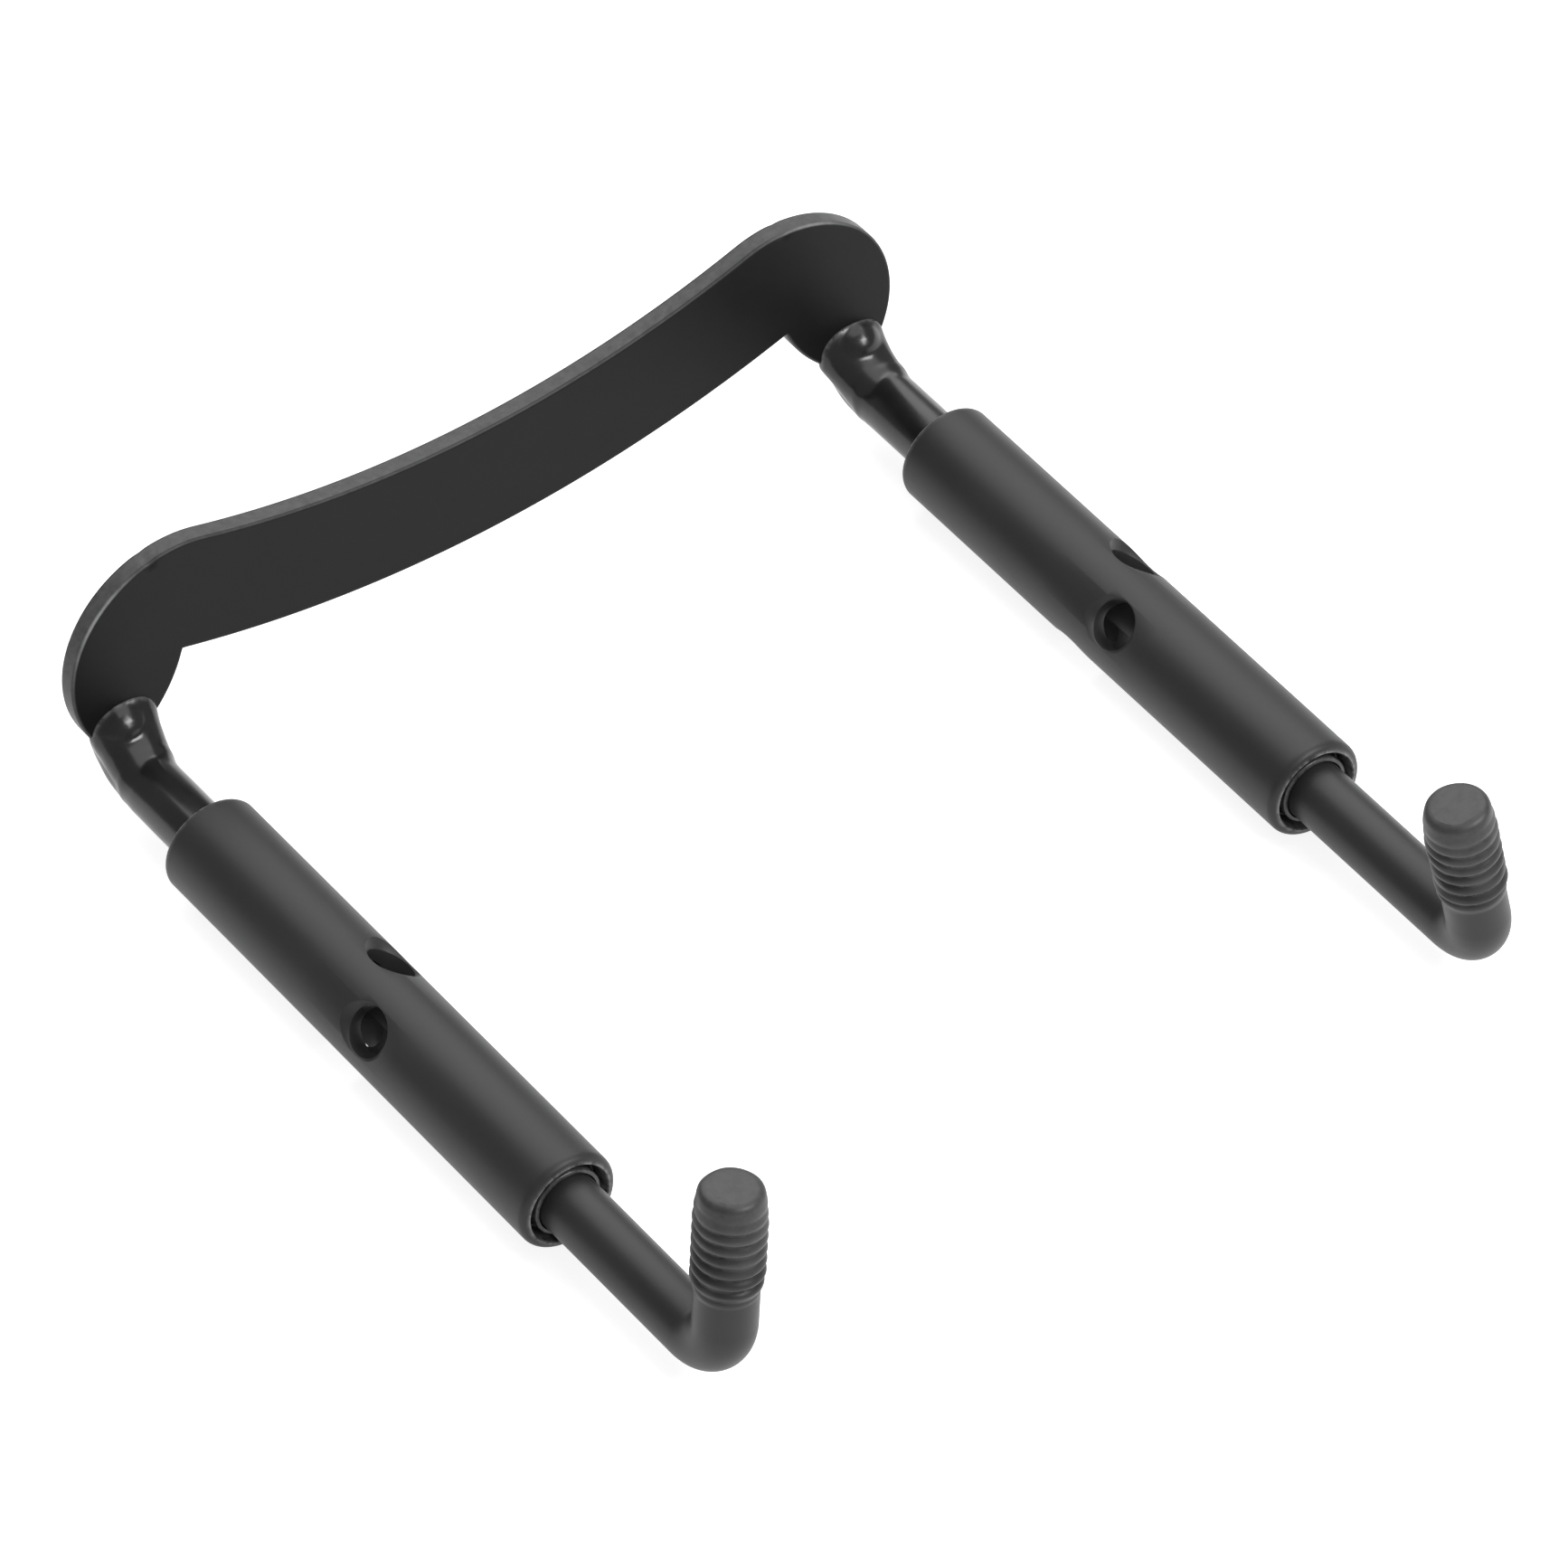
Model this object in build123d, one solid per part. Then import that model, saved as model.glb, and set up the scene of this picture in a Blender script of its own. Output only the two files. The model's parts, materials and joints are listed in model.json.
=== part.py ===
from build123d import *
import math
import os

# Violin chin rest clamp. A foot plate bears on the back of the violin, and two L-hooks
# screw into the chin rest on its top. A barrel on each side draws the two together.
# Millimetres, +Z up. The rods run along Y with the plate at +Y and the hooks at -Y.
# The clamp lies on its barrels, and the origin is the centre of its base.

# Driving dimensions
POST_SPACING = 37.6      # between the two rod axes
ROD_R = 1.35             # studs and hooks are bent from the same wire
RUNNING_GAP = 0.05       # radial clearance of a running fit
AXIAL_GAP = 0.06         # end play between faces that turn on each other

BARREL_R = 2.30
BARREL_LENGTH = 26.25
BARREL_ROUND = 0.38      # rim of the hook end
BARREL_CHAMFER = 0.10    # rim of the plate end
BARREL_TO_PLATE = {"left": 6.65, "right": 6.40}    # bare stud in front of the grip face
KEY_HOLE_R = 1.10
KEY_HOLES_AT = (14.15, 11.80)    # from the barrel's plate end
KEY_HOLE_TURNS = {"left": 52.0, "right": 47.0}    # first hole, from +Z towards -X
KEY_HOLE_LIP = 0.18      # depth of the chamfer round each hole

LIP_R = 1.64             # staked lip that holds the bush in
LIP_FROM_END = 0.90
LIP_THICKNESS = 0.50
MOUTH_R = 1.88
CHAMBER_R = 1.86
CHAMBER_LENGTH = 2.50

BUSH_FLANGE = 0.80
BUSH_NOSE = 1.35         # from the flange's face to the nose's end
BUSH_CHAMFER = 0.08
HEAD_R = 1.72
HEAD_LENGTH = 1.15
HEAD_CHAMFER = 0.15

BARE_SHANK = {"left": 10.75, "right": 11.40}    # barrel's end to the axis of the hook's leg
HOOK_BEND_R = 2.0        # centre line
LEG_HEIGHT = {"left": 9.05, "right": 8.75}      # rod axis to the tip's end face
TIP_LENGTH = 5.0
TIP_R = 1.55
TIP_CHAMFER = 0.28
HOOK_TURNS = {"left": 7.0, "right": -8.0}       # about +Y, so both legs lean inwards

STUD_LENGTH = 12.6       # grip face to the stud's inner end
STUD_CHAMFER = 0.25
ELBOW_R = 1.60           # centre line
FOOT_OFFSET = 0.23       # foot axis behind the grip face
FOOT_STRAIGHT = 0.02     # straight wire that is left above the elbow's bend
WELD_R = 1.75
WELD_HEIGHT = 1.50       # centre of the bead above the rod axis
WELD_FORWARD = 0.45      # centre of the bead in front of the grip face
WELD_COLLAR_R = 1.50
WELD_COLLAR_END = 1.9    # collar's end in front of the grip face
SEAT_DEPTH = 0.15        # how deep the braze has fused into the grip face
SEAT_MARGIN = 0.05       # seat round the bead's outline

PLATE_THICKNESS = 0.95
PLATE_EDGE = 0.12
CREST_HEIGHT = 7.53      # middle of the upper edge, above the rod axis
CREST_BOW_R = 47.0
BELLY_HEIGHT = 1.95      # middle of the lower edge
BELLY_BOW_R = 55.0
SHOULDER_X = 15.3        # centre of the rounded end
SHOULDER_R = 5.5
SHOULDER_MID = 26.0      # degrees above +X, on the shoulder's arc
NOTCH_X = 15.35          # inside corner between crescent and tab
NOTCH_R = 0.15
TAB_X = 18.6
TAB_HEIGHT = 2.05        # centre of the tab's tip
TAB_INNER_TURN = 232     # degrees, where the tip's round ends on the inner side

# Derived places
BACK_OF_FOOT = FOOT_OFFSET + ROD_R
SIDE_REACHES = [BARREL_TO_PLATE[side] + BARREL_LENGTH + BARE_SHANK[side] for side in BARREL_TO_PLATE]
FRONT_OF_TIP = max(SIDE_REACHES) + TIP_R
GRIP_Y = (FRONT_OF_TIP - BACK_OF_FOOT) / 2    # puts the origin midway along Y
AXIS_Z = BARREL_R
SIDES = {"left": -POST_SPACING / 2, "right": POST_SPACING / 2}
LIP_AT = BARREL_LENGTH - LIP_FROM_END - LIP_THICKNESS    # from the barrel's plate end
BUSH_FACE_AT = LIP_AT - AXIAL_GAP
HEAD_FACE_AT = BUSH_FACE_AT - BUSH_FLANGE - AXIAL_GAP
FROM_BASE = (Align.CENTER, Align.CENTER, Align.MIN)


def along_rod(x, from_plate):
    """Frame on a rod axis, with its Z along the rod, away from the plate."""
    return Plane(origin=(x, GRIP_Y - from_plate, AXIS_Z), x_dir=(1, 0, 0), z_dir=(0, -1, 0))


def rod(frame, radius, start, length):
    """Cylinder along the frame's Z, from start."""
    return frame * Pos(0, 0, start) * Cylinder(radius, length, align=FROM_BASE)


def bent_wire(x, points, radius, bend_radius):
    """Round wire through three points of the YZ plane, with one tangent bend."""
    path = FilletPolyline([(x, y, z) for y, z in points], radius=bend_radius)
    start = Plane(origin=path @ 0, z_dir=path % 0)
    return sweep(start * Circle(radius), path=path)


def tangent_shoulder_height():
    """Height at which the shoulder arc meets the crest arc without a corner."""
    reach = CREST_BOW_R + SHOULDER_R
    return CREST_HEIGHT + CREST_BOW_R - math.sqrt(reach ** 2 - SHOULDER_X ** 2)


def on_circle(centre, radius, degrees):
    """Point of a circle in x and height, turned from +X towards +Z."""
    turn = math.radians(degrees)
    return (centre[0] + radius * math.cos(turn), centre[1] + radius * math.sin(turn))


def shoulder_and_tab():
    """Arcs of the right-hand end, as points in x and height from the crest to the tab's inner side."""
    centre = (SHOULDER_X, tangent_shoulder_height())
    crest_centre = (0, CREST_HEIGHT + CREST_BOW_R)
    share = SHOULDER_R / (CREST_BOW_R + SHOULDER_R)
    crest_join = tuple(near + share * (far - near) for near, far in zip(centre, crest_centre))
    tab = (TAB_X, TAB_HEIGHT)
    apart = math.dist(centre, tab)
    tab_r = SHOULDER_R - apart
    tab_join = tuple(near + (far - near) / apart * SHOULDER_R for near, far in zip(centre, tab))
    shoulder_mid = on_circle(centre, SHOULDER_R, SHOULDER_MID)
    tab_low = on_circle(tab, tab_r, 270)
    tab_inner = on_circle(tab, tab_r, TAB_INNER_TURN)
    return crest_join, shoulder_mid, tab_join, tab_low, tab_inner


def plate_outline():
    """The plate's outline as a face in x and height, the same on both sides."""
    notch_rise = BELLY_BOW_R - math.sqrt(BELLY_BOW_R ** 2 - NOTCH_X ** 2)
    notch_z = BELLY_HEIGHT + notch_rise
    right_end = shoulder_and_tab()
    crest_x, crest_z = right_end[0]
    edges = [
        ThreePointArc((-crest_x, crest_z), (0, CREST_HEIGHT), (crest_x, crest_z)),
        ThreePointArc((-NOTCH_X, notch_z), (0, BELLY_HEIGHT), (NOTCH_X, notch_z)),
    ]
    turn = math.radians(TAB_INNER_TURN)
    for sign in (1, -1):
        crest, shoulder_mid, tab_join, tab_low, tab_inner = [(sign * x, z) for x, z in right_end]
        inner_tangent = (sign * math.sin(turn), -math.cos(turn))
        edges.append(ThreePointArc(crest, shoulder_mid, tab_join))
        edges.append(ThreePointArc(tab_join, tab_low, tab_inner))
        edges.append(TangentArc(tab_inner, (sign * NOTCH_X, notch_z), tangent=inner_tangent))
    return make_face(edges)


def weld_seat(x):
    """Shallow seat that the bead and the stud's collar have fused into."""
    seat_frame = along_rod(x, 0)
    bead_seat = Pos(0, 0, WELD_HEIGHT) * rod(seat_frame, WELD_R + SEAT_MARGIN, -SEAT_DEPTH, SEAT_DEPTH)
    return bead_seat + rod(seat_frame, WELD_COLLAR_R + SEAT_MARGIN, -SEAT_DEPTH, SEAT_DEPTH)


def make_foot_plate():
    """Flat crescent with a rounded tab at each end."""
    upright = Plane(origin=(0, GRIP_Y, AXIS_Z), x_dir=(1, 0, 0), z_dir=(0, -1, 0))
    flat = extrude(upright * plate_outline(), amount=-PLATE_THICKNESS)
    upright_edges = flat.edges().filter_by(Axis.Y)
    notches = [edge for edge in upright_edges if abs(abs(edge.center().X) - NOTCH_X) < PLATE_EDGE]
    flat = fillet(notches, NOTCH_R)
    rims = flat.faces().filter_by(Axis.Y).edges()
    flat = fillet(rims, PLATE_EDGE)
    for x in SIDES.values():
        flat -= weld_seat(x)
    return flat


def make_stud(x, plate):
    """Threaded pin whose foot turns up and straddles the tab."""
    foot_y = GRIP_Y + FOOT_OFFSET
    foot_top = AXIS_Z + ELBOW_R + FOOT_STRAIGHT
    points = [(GRIP_Y - STUD_LENGTH, AXIS_Z), (foot_y, AXIS_Z), (foot_y, foot_top)]
    pin = bent_wire(x, points, ROD_R, ELBOW_R)
    pin += Pos(x, foot_y, AXIS_Z + ELBOW_R) * Sphere(ROD_R)
    inner_end = pin.edges().group_by(Axis.Y)[0]
    return chamfer(inner_end, STUD_CHAMFER) - plate


def make_weld(x, plate, stud):
    """Brazed bead in the inner corner of the elbow, with a short collar on the stud."""
    bead = Pos(x, GRIP_Y - WELD_FORWARD, AXIS_Z + WELD_HEIGHT) * Sphere(WELD_R)
    collar = rod(along_rod(x, WELD_FORWARD), WELD_COLLAR_R, 0, WELD_COLLAR_END - WELD_FORWARD)
    above_axis = Pos(x, GRIP_Y, AXIS_Z) * Box(4 * WELD_R, 4 * WELD_R, 2 * WELD_R, align=FROM_BASE)
    behind_seat = Pos(x, GRIP_Y + SEAT_DEPTH + 2 * WELD_R, AXIS_Z) * Box(4 * WELD_R, 4 * WELD_R, 8 * WELD_R)
    bead += (collar + weld_seat(x)) & above_axis
    return bead - behind_seat - plate - stud


def key_hole(frame, place, turn):
    """Hole through both walls, with a chamfered lip at each mouth."""
    across = frame * Pos(0, 0, place) * Rot(0, 0, 90 + turn) * Rot(0, 90, 0)
    hole = across * Cylinder(KEY_HOLE_R, 4 * BARREL_R)
    lip_depth = 3 * KEY_HOLE_LIP    # reaches outside the curved wall
    for end in (0, 180):
        lip = Cone(KEY_HOLE_R, KEY_HOLE_R + lip_depth, lip_depth, align=FROM_BASE)
        hole += across * Rot(end, 0, 0) * Pos(0, 0, BARREL_R - 2 * KEY_HOLE_LIP) * lip
    return hole


def make_barrel(x, from_plate, turn):
    """Tube with a threaded end, two crossed key holes and a staked end."""
    frame = along_rod(x, from_plate)
    body = rod(frame, BARREL_R, 0, BARREL_LENGTH)
    ends = body.edges().filter_by(GeomType.CIRCLE).sort_by(Axis.Y)
    body = fillet(ends[0], BARREL_ROUND)
    plate_end = body.edges().filter_by(GeomType.CIRCLE).sort_by(Axis.Y)[-1]
    body = chamfer(plate_end, BARREL_CHAMFER)
    body -= rod(frame, ROD_R + RUNNING_GAP, 0, BARREL_LENGTH)
    body -= rod(frame, CHAMBER_R, LIP_AT - CHAMBER_LENGTH, CHAMBER_LENGTH)
    body -= rod(frame, LIP_R, LIP_AT, LIP_THICKNESS)
    body -= rod(frame, MOUTH_R, BARREL_LENGTH - LIP_FROM_END, LIP_FROM_END)
    for index, place in enumerate(KEY_HOLES_AT):
        body -= key_hole(frame, place, turn - 90 * index)
    return body


def make_bush(x, from_plate):
    """Flanged ring behind the staked lip, with its nose through it."""
    frame = along_rod(x, from_plate)
    flange_back = BUSH_FACE_AT - BUSH_FLANGE
    flange = rod(frame, CHAMBER_R - RUNNING_GAP, flange_back, BUSH_FLANGE)
    nose = rod(frame, LIP_R - RUNNING_GAP, flange_back, BUSH_FLANGE + BUSH_NOSE)
    nose_end = nose.edges().filter_by(GeomType.CIRCLE).sort_by(Axis.Y)[0]
    ring = chamfer(nose_end, BUSH_CHAMFER) + flange
    return ring - rod(frame, ROD_R + RUNNING_GAP, 0, BARREL_LENGTH)


def make_hook(x, from_plate, bare_shank, leg_height, turn):
    """Headed wire, bent up at a right angle to a threaded tip."""
    frame = along_rod(x, from_plate)
    head = rod(frame, HEAD_R, HEAD_FACE_AT - HEAD_LENGTH, HEAD_LENGTH)
    head = chamfer(head.edges().filter_by(GeomType.CIRCLE), HEAD_CHAMFER)

    start_y = GRIP_Y - from_plate - HEAD_FACE_AT + HEAD_LENGTH / 2
    leg_y = GRIP_Y - from_plate - BARREL_LENGTH - bare_shank
    tip_z = AXIS_Z + leg_height
    points = [(start_y, AXIS_Z), (leg_y, AXIS_Z), (leg_y, tip_z - TIP_LENGTH)]
    hook = bent_wire(x, points, ROD_R, HOOK_BEND_R)
    tip = Pos(x, leg_y, tip_z - TIP_LENGTH) * Cylinder(TIP_R, TIP_LENGTH, align=FROM_BASE)
    tip = chamfer(tip.edges().filter_by(GeomType.CIRCLE), TIP_CHAMFER)
    hook += head
    hook += tip
    return hook.rotate(Axis((x, 0, AXIS_Z), (0, 1, 0)), turn)


os.makedirs("parts", exist_ok=True)
nodes = {"foot_plate": make_foot_plate()}
for side, x in SIDES.items():
    from_plate = BARREL_TO_PLATE[side]
    stud = make_stud(x, nodes["foot_plate"])
    nodes[f"{side}_stud"] = stud
    nodes[f"{side}_weld"] = make_weld(x, nodes["foot_plate"], stud)
    nodes[f"{side}_barrel"] = make_barrel(x, from_plate, KEY_HOLE_TURNS[side])
    nodes[f"{side}_bush"] = make_bush(x, from_plate)
    nodes[f"{side}_hook"] = make_hook(x, from_plate, BARE_SHANK[side], LEG_HEIGHT[side], HOOK_TURNS[side])
for name, shape in nodes.items():
    export_step(shape, f"parts/{name}.step")
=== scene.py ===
import json
import math

import bmesh
import bpy
from mathutils import Matrix, Vector, noise


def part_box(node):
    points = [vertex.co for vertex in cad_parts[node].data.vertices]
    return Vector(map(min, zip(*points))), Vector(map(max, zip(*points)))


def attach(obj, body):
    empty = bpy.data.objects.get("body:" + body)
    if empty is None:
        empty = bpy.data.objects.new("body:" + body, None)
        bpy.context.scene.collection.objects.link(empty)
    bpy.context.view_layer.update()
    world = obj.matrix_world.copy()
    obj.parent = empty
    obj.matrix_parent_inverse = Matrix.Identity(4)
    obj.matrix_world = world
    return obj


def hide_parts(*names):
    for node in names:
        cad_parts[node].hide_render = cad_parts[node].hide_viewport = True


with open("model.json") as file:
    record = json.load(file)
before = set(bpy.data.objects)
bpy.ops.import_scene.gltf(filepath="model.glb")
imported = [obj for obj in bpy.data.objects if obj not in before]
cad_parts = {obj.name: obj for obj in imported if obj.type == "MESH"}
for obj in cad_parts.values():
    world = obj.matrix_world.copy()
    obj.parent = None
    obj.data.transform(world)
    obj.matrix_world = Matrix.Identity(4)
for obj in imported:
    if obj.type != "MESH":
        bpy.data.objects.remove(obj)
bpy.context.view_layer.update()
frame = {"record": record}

MM = 0.001
SIDES = ("left", "right")

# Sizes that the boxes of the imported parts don't give, in millimetres
ROD_R = 1.35
BORE_R = 1.40
PLATE_EDGE = 0.15
CREST_HEIGHT = 7.53
CREST_BOW_R = 47.0
BELLY_HEIGHT = 1.95
BELLY_BOW_R = 55.0
SHOULDER_X = 15.3
SHOULDER_R = 5.5
NOTCH_X = 15.35
TAB_X = 18.6
TAB_HEIGHT = 2.05
TAB_INNER_TURN = 232.0
BARREL_ROUND = 0.38
KEY_HOLE_R = 1.10
KEY_HOLES_AT = (14.15, 11.80)
KEY_HOLE_TURNS = {"left": 52.0, "right": 47.0}
KEY_HOLE_LIP = 0.18
LIP_R = 1.64
LIP_FROM_END = 0.90
LIP_THICKNESS = 0.50
MOUTH_R = 1.88
CHAMBER_R = 1.86
CHAMBER_LENGTH = 2.50
HEAD_R = 1.72
HEAD_LENGTH = 1.15
HEAD_CHAMFER = 0.15
BUSH_FLANGE = 0.80
HOOK_BEND_R = 2.0
HOOK_TURNS = {"left": 7.0, "right": -8.0}
TIP_R = 1.55
THREAD_ROOT_R = 1.34
THREAD_PITCH = 0.60
THREAD_LENGTH = 5.3
TIP_CHAMFER = 0.28
ELBOW_R = 1.60
FOOT_OFFSET = 0.23


def in_mm(corner):
    return Vector(corner) / MM


def box_mm(node):
    low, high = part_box(node)
    return in_mm(low), in_mm(high)


plate_low, plate_high = box_mm("foot_plate")
GRIP_Y = plate_low.y
PLATE_THICKNESS = plate_high.y - plate_low.y
AXIS = {}
for side in SIDES:
    low, high = box_mm(f"{side}_barrel")
    AXIS[side] = dict(x=(low.x + high.x) / 2, z=(low.z + high.z) / 2, plate_end=high.y,
                      hook_end=low.y, radius=(high.x - low.x) / 2)
AXIS_Z = AXIS["left"]["z"]


# ---------------------------------------------------------------- mesh helpers

def clamp(value, low=0.0, high=1.0):
    return min(high, max(low, value))


def bell(distance, width):
    """1 at distance 0, fading to nothing over a few widths."""
    return math.exp(-(distance / width) ** 2)


def set_wear_and_painted_light(mesh, wear_and_painted_light):
    """Stores how rubbed the coating is at each point, and on the plate its painted highlight and painted
    light, for the materials to read.
    """
    layer = mesh.attributes.new("wear_and_painted_light", "FLOAT", "POINT")
    layer.data.foreach_set("value", wear_and_painted_light)


def shade_smooth(mesh):
    mesh.polygons.foreach_set("use_smooth", [True] * len(mesh.polygons))


def make_object(name, points, faces, sharp_degrees=38.0, wear_and_painted_light=None):
    """Mesh object from points in millimetres, smooth but for its sharp edges, with a value per point for wear
    and painted light.
    """
    mesh = bpy.data.meshes.new(name)
    mesh.from_pydata([Vector(p) * MM for p in points], [], faces)
    mesh.validate()
    shade_smooth(mesh)
    mesh.set_sharp_from_angle(angle=math.radians(sharp_degrees))
    if wear_and_painted_light is not None:
        set_wear_and_painted_light(mesh, wear_and_painted_light)
    thing = bpy.data.objects.new(name, mesh)
    bpy.context.scene.collection.objects.link(thing)
    return thing


def grid_faces(rings, count, closed=False):
    """Quads between successive rings of count points each."""
    faces = []
    last = rings if closed else rings - 1
    for ring in range(last):
        here = ring * count
        there = ((ring + 1) % rings) * count
        for i in range(count):
            j = (i + 1) % count
            faces.append((here + i, here + j, there + j, there + i))
    return faces


def capped_faces(rings, count):
    """Quads between the rings of an open tube, with a cap on each end."""
    faces = grid_faces(rings, count)
    faces.append(tuple(reversed(range(count))))
    faces.append(tuple(range((rings - 1) * count, rings * count)))
    return faces


def fix_normals(thing):
    """Turns every face outwards."""
    work = bmesh.new()
    work.from_mesh(thing.data)
    bmesh.ops.recalc_face_normals(work, faces=work.faces)
    work.to_mesh(thing.data)
    work.free()


def arc(centre, radius, start, end, steps):
    """Points of an arc in two dimensions, in degrees."""
    points = []
    for i in range(steps + 1):
        turn = math.radians(start + (end - start) * i / steps)
        points.append((centre[0] + radius * math.cos(turn), centre[1] + radius * math.sin(turn)))
    return points


def lathe(profile, side, segments):
    """Closed surface turned about a rod axis, from (distance from the barrel's plate end, radius) pairs."""
    axis = AXIS[side]
    points = []
    for along, radius in profile:
        for i in range(segments):
            turn = 2 * math.pi * i / segments
            points.append((axis["x"] + radius * math.cos(turn), axis["plate_end"] - along,
                           axis["z"] + radius * math.sin(turn)))
    return points, grid_faces(len(profile), segments, closed=True)


def apply_modifier(thing, kind, **settings):
    """Adds a modifier and bakes its result into the mesh."""
    modifier = thing.modifiers.new(kind, kind)
    for key, value in settings.items():
        setattr(modifier, key, value)
    graph = bpy.context.evaluated_depsgraph_get()
    result = bpy.data.meshes.new_from_object(thing.evaluated_get(graph))
    thing.modifiers.clear()
    thing.data = result


def scale_mesh(thing, factor):
    """Scales the points themselves, so that modifiers can work in millimetres."""
    thing.data.transform(Matrix.Scale(factor, 4))


# ---------------------------------------------------------------- materials

def node_kit(name):
    material = bpy.data.materials.new(name)
    material.use_nodes = True
    tree = material.node_tree
    shader = tree.nodes["Principled BSDF"]
    coords = tree.nodes.new("ShaderNodeTexCoord")
    return material, tree, shader, coords


def add_noise(tree, coords, scale, detail, rough, stretch=None):
    """Noise in object space. scale is features per metre; stretch scales each axis."""
    source = coords.outputs["Object"]
    if stretch:
        mapping = tree.nodes.new("ShaderNodeMapping")
        mapping.inputs["Scale"].default_value = stretch
        tree.links.new(source, mapping.inputs["Vector"])
        source = mapping.outputs["Vector"]
    texture = tree.nodes.new("ShaderNodeTexNoise")
    texture.inputs["Scale"].default_value = scale
    texture.inputs["Detail"].default_value = detail
    texture.inputs["Roughness"].default_value = rough
    tree.links.new(source, texture.inputs["Vector"])
    return texture.outputs["Fac"]


def add_ramp(tree, factor, low, high, low_value, high_value):
    """Maps factor from low..high to low_value..high_value, held at the ends."""
    node = tree.nodes.new("ShaderNodeMapRange")
    node.inputs["From Min"].default_value = low
    node.inputs["From Max"].default_value = high
    node.inputs["To Min"].default_value = low_value
    node.inputs["To Max"].default_value = high_value
    tree.links.new(factor, node.inputs["Value"])
    return node.outputs["Result"]


def add_math(tree, kind, a, b):
    node = tree.nodes.new("ShaderNodeMath")
    node.operation = kind
    for socket, value in zip(node.inputs, (a, b)):
        if isinstance(value, (int, float)):
            socket.default_value = value
        else:
            tree.links.new(value, socket)
    return node.outputs["Value"]


def add_mix(tree, factor, a, b):
    node = tree.nodes.new("ShaderNodeMix")
    node.data_type = "RGBA"
    tree.links.new(factor, node.inputs["Factor"])
    for socket, value in ((node.inputs[6], a), (node.inputs[7], b)):
        if isinstance(value, tuple):
            socket.default_value = value
        else:
            tree.links.new(value, socket)
    return node.outputs[2]


def grey(value, tint=0.0):
    return (value * (1 - tint), value, value * (1 + tint), 1.0)


# Noise scales are features per metre
MOTTLE_SCALE = 420.0
PATCH_SCALE = 2600.0
MOTTLE_SPREAD = 0.12
MOTTLE_HEIGHT = 0.6
RELIEF_DISTANCE = 0.00003


def coating(name, base, worn_and_highlight_grey, rough, specular, bump, wear_break, ragged=0.12, fine=9000.0, streak=None):
    """Black coated steel: mottled paint, fine orange peel, and a lighter grey where the per-point value is
    high: coating rubbed thin, and on the plate's edges painted highlight and painted light.

    base is the paint's grey; the second grey is rubbed coating and, on the plate, painted highlight and
    painted light. These show where a noise passes wear_break, give or take ragged.
    fine is the scale of the orange peel, and streak stretches the mottle.
    """
    material, tree, shader, coords = node_kit(name)
    mottle = add_noise(tree, coords, MOTTLE_SCALE, 5.0, 0.6, streak)
    peel = add_noise(tree, coords, fine, 3.0, 0.6)
    patches = add_noise(tree, coords, PATCH_SCALE, 4.0, 0.65)
    tone = add_mix(tree, add_ramp(tree, mottle, 0.3, 0.7, 0.0, 1.0),
                   grey(base * (1 - MOTTLE_SPREAD)), grey(base * (1 + MOTTLE_SPREAD), 0.01))

    # Per-point value read here: real rubbing, plus on the plate a painted highlight along the arris and
    # painted light on the top edge
    wear_and_painted_light = tree.nodes.new("ShaderNodeAttribute")
    wear_and_painted_light.attribute_name = "wear_and_painted_light"
    broken = add_ramp(tree, patches, wear_break - ragged, wear_break + ragged, 0.0, 1.0)
    worn_and_highlight_amount = add_math(tree, "MULTIPLY", wear_and_painted_light.outputs["Fac"], broken)
    colour = add_mix(tree, worn_and_highlight_amount, tone, grey(worn_and_highlight_grey, 0.01))
    tree.links.new(colour, shader.inputs["Base Color"])

    roughness = add_ramp(tree, mottle, 0.25, 0.75, rough - 0.05, rough + 0.06)
    tree.links.new(roughness, shader.inputs["Roughness"])
    shader.inputs["Specular IOR Level"].default_value = specular

    height = add_math(tree, "ADD", add_math(tree, "MULTIPLY", mottle, MOTTLE_HEIGHT), peel)
    relief = tree.nodes.new("ShaderNodeBump")
    relief.inputs["Strength"].default_value = bump
    relief.inputs["Distance"].default_value = RELIEF_DISTANCE
    tree.links.new(height, relief.inputs["Height"])
    tree.links.new(relief.outputs["Normal"], shader.inputs["Normal"])
    return material


# The plate's second grey, 0.30, is its rubbed coating and also the colour of its painted highlight and
# painted top-edge light
PLATE_PAINT = coating("plate_paint", base=0.004, worn_and_highlight_grey=0.30, rough=0.42, specular=0.13, bump=0.08,
                      wear_break=0.46, ragged=0.9)
BARREL_PAINT = coating("barrel_satin", base=0.018, worn_and_highlight_grey=0.20, rough=0.44, specular=0.28, bump=0.05,
                       wear_break=0.46, fine=14000.0, streak=(1.0, 0.25, 1.0))
NECK_PAINT = coating("neck_gloss", base=0.010, worn_and_highlight_grey=0.12, rough=0.22, specular=0.42, bump=0.02,
                     wear_break=0.45)
WIRE_PAINT = coating("wire_satin", base=0.017, worn_and_highlight_grey=0.060, rough=0.42, specular=0.30, bump=0.05,
                     wear_break=0.30, ragged=0.3, streak=(1.0, 0.3, 1.0))
BUSH_PAINT = coating("bush_black", base=0.018, worn_and_highlight_grey=0.16, rough=0.32, specular=0.40, bump=0.05,
                     wear_break=0.50)


def finish_piece(piece, name, material, body, slot, *nodes):
    """Names and paints a piece, hangs it on its body and hides the CAD nodes it stands for."""
    piece.name = name
    piece.data.materials.clear()
    piece.data.materials.append(material)
    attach(piece, body)
    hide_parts(*nodes)


# ---------------------------------------------------------------- foot plate

OUTLINE_STEP = 0.11
CURVE_STEPS = 40
TAB_SIDE_STEPS = 24
SHOULDER_STEPS = 90
ARRIS_STEPS = 5
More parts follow.
